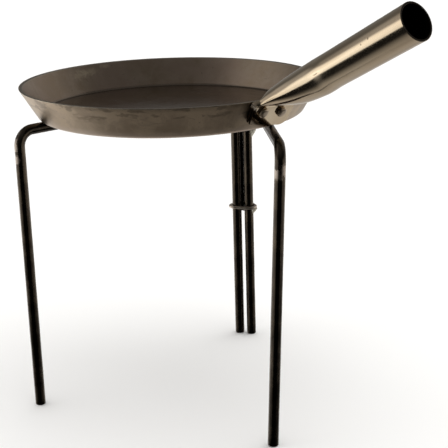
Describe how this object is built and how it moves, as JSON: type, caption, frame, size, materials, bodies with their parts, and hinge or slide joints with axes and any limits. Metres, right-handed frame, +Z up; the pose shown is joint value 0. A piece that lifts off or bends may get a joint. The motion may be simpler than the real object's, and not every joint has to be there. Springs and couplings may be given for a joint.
{
  "type": "campfire frying pan on folding stand",
  "caption": "Shallow round steel frying pan with a hollow handle socket, resting on a folding stand of bent round rods.",
  "frame": {"origin": "middle of the whole object's bounding box in plan, on the floor it stands on", "axes": "+Z up; +X from the pan towards the mouth of the handle socket; +Y to the left of the handle seen from the pan, towards the two rear legs"},
  "size_m": [0.3633, 0.2385, 0.3223],
  "materials": {
    "pan_steel": "hot-rolled carbon steel, oiled, warm taupe grey with soft mottling",
    "socket_steel": "brushed steel tube with a warm straw sheen",
    "rivet_steel": "plain steel rivet",
    "rod_steel": "black oxidised steel bar, semi-gloss, scuffed at the bends",
    "loop_steel": "oxidised steel wire, rubbed bright on its edges",
    "weld_steel": "rough weld metal"
  },
  "bodies": {
    "right_frame": {"right_frame_rod": "rod_steel", "hinge_spacer_rod": "rod_steel", "lower_hinge_ring": "loop_steel", "upper_hinge_ring": "loop_steel", "lower_ring_weld": "weld_steel", "upper_ring_weld": "weld_steel"},
    "left_frame": {"left_frame_rod": "rod_steel"},
    "pan_with_handle": {"pan": "pan_steel", "handle_socket": "socket_steel", "rivet_left": "rivet_steel", "rivet_right": "rivet_steel"}
  },
  "joints": [
    {"name": "frame_fold", "type": "hinge", "parent": "right_frame", "child": "left_frame", "pos_m": [-0.1141, 0.1039, 0.15], "axis": [0, 0, 1], "range_deg": [-180, 51]},
    {"name": "pan_lift_off", "type": "slide", "parent": "right_frame", "child": "pan_with_handle", "axis": [0, 0, 1], "range_m": [0, 0.15]}
  ]
}
